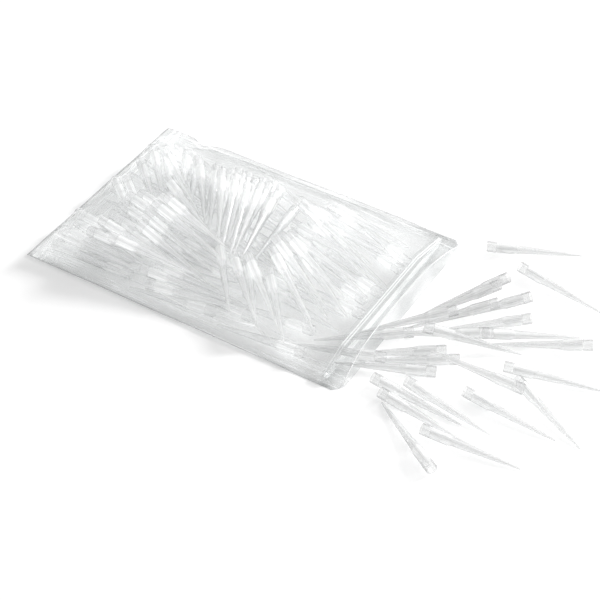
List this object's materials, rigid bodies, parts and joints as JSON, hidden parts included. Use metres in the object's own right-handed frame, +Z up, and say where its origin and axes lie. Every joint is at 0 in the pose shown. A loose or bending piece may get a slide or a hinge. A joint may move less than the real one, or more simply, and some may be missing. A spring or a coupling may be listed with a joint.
{
  "type": "bag of pipette tips",
  "caption": "Clear press-seal plastic bag lying flat, full of clear tapered pipette tips, with part of its contents spilled out of the open mouth.",
  "frame": {"origin": "on the table under the middle of the bag", "axes": "+X along the bag towards its open mouth and the spilled tips, +Y across the bag to the long edge that has the small notch, +Z up from the table"},
  "size_m": [0.4639, 0.2695, 0.0366],
  "materials": {
    "film": "clear thin film, glossy, finely creased",
    "seal": "clear, glossy, thicker than the film",
    "tip": "clear natural plastic, slightly milky, whiter at the ribbed collar"
  },
  "bodies": {
    "root": {"bag_film": "film", "seal_groove_strip": "seal", "seal_rib_strip": "seal", "spilled_tip_01": "tip", "spilled_tip_02": "tip", "spilled_tip_03": "tip", "spilled_tip_04": "tip", "spilled_tip_05": "tip", "spilled_tip_06": "tip", "spilled_tip_07": "tip", "spilled_tip_08": "tip", "spilled_tip_09": "tip", "spilled_tip_10": "tip", "spilled_tip_11": "tip", "spilled_tip_12": "tip", "spilled_tip_13": "tip", "spilled_tip_14": "tip", "spilled_tip_15": "tip", "spilled_tip_16": "tip", "spilled_tip_17": "tip", "spilled_tip_18": "tip", "spilled_tip_19": "tip", "spilled_tip_20": "tip", "spilled_tip_21": "tip", "spilled_tip_22": "tip", "spilled_tip_23": "tip", "spilled_tip_24": "tip", "spilled_tip_25": "tip", "spilled_tip_26": "tip", "bagged_tips_01": "tip", "bagged_tips_02": "tip", "bagged_tips_03": "tip", "bagged_tips_04": "tip", "bagged_tips_05": "tip", "bagged_tips_06": "tip", "bagged_tips_07": "tip", "bagged_tips_08": "tip", "bagged_tips_09": "tip", "bagged_tips_10": "tip", "bagged_tips_11": "tip"}
  },
  "joints": []
}
